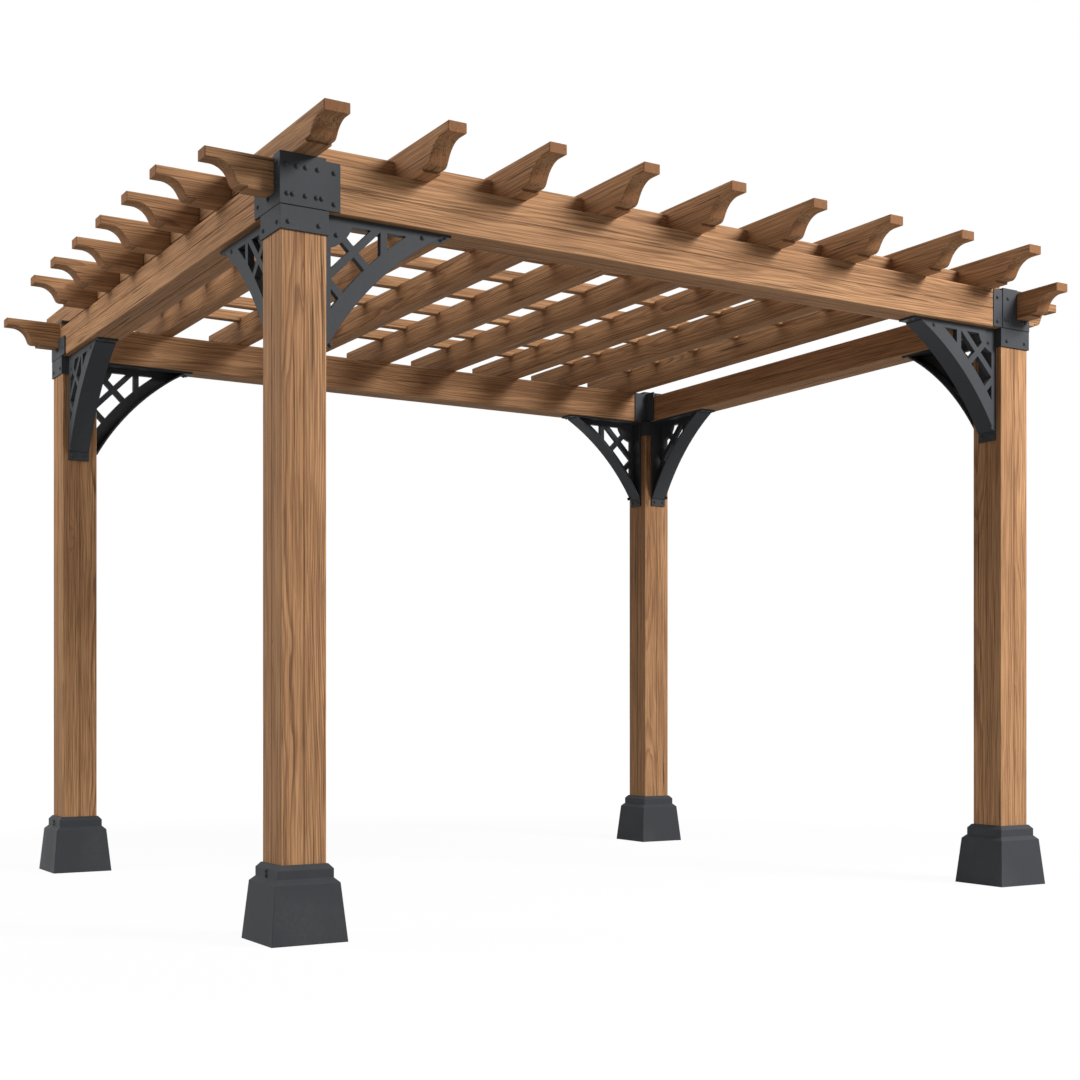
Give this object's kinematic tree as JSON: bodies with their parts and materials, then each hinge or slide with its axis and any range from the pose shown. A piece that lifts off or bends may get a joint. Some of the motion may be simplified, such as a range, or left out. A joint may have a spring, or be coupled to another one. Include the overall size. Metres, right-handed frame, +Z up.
{
  "type": "wooden pergola",
  "caption": "Open timber garden pergola with scroll-cut rafter tails, slatted roof, metal foot covers, corner brackets and pierced lattice braces",
  "frame": {"origin": "middle of the rectangle of posts, at ground level", "axes": "+X along the longer side to the right, +Y to the back, +Z up; the front is -Y"},
  "size_m": [3.45, 2.934, 2.371],
  "materials": {
    "post_timber": "oiled",
    "beam_timber": "oiled",
    "rafter_timber": "oiled",
    "slat_timber": "oiled",
    "tail_timber": "oiled",
    "foot_metal": "satin powder coat",
    "bracket_metal": "satin powder coat",
    "brace_metal": "satin powder coat"
  },
  "bodies": {
    "root": {"front_left_post": "post_timber", "front_left_foot_cover": "foot_metal", "front_left_bracket": "bracket_metal", "front_left_beam_brace": "brace_metal", "front_left_side_brace": "brace_metal", "front_right_post": "post_timber", "front_right_foot_cover": "foot_metal", "front_right_bracket": "bracket_metal", "front_right_beam_brace": "brace_metal", "front_right_side_brace": "brace_metal", "back_left_post": "post_timber", "back_left_foot_cover": "foot_metal", "back_left_bracket": "bracket_metal", "back_left_beam_brace": "brace_metal", "back_left_side_brace": "brace_metal", "back_right_post": "post_timber", "back_right_foot_cover": "foot_metal", "back_right_bracket": "bracket_metal", "back_right_beam_brace": "brace_metal", "back_right_side_brace": "brace_metal", "front_beam": "beam_timber", "back_beam": "beam_timber", "left_beam": "beam_timber", "right_beam": "beam_timber", "front_right_corner_tail": "tail_timber", "back_right_corner_tail": "tail_timber", "left_edge_rafter": "rafter_timber", "rafter_1": "rafter_timber", "rafter_2": "rafter_timber", "rafter_3": "rafter_timber", "rafter_4": "rafter_timber", "rafter_5": "rafter_timber", "rafter_6": "rafter_timber", "rafter_7": "rafter_timber", "rafter_8": "rafter_timber", "slat_1": "slat_timber", "slat_2": "slat_timber", "slat_3": "slat_timber", "slat_4": "slat_timber", "slat_5": "slat_timber", "slat_6": "slat_timber", "slat_7": "slat_timber", "front_strip": "slat_timber", "left_tail_1": "tail_timber", "right_tail_1": "tail_timber", "left_tail_2": "tail_timber", "right_tail_2": "tail_timber", "left_tail_3": "tail_timber", "right_tail_3": "tail_timber", "left_tail_4": "tail_timber", "right_tail_4": "tail_timber", "left_tail_5": "tail_timber", "right_tail_5": "tail_timber", "left_tail_6": "tail_timber", "right_tail_6": "tail_timber"}
  },
  "joints": []
}
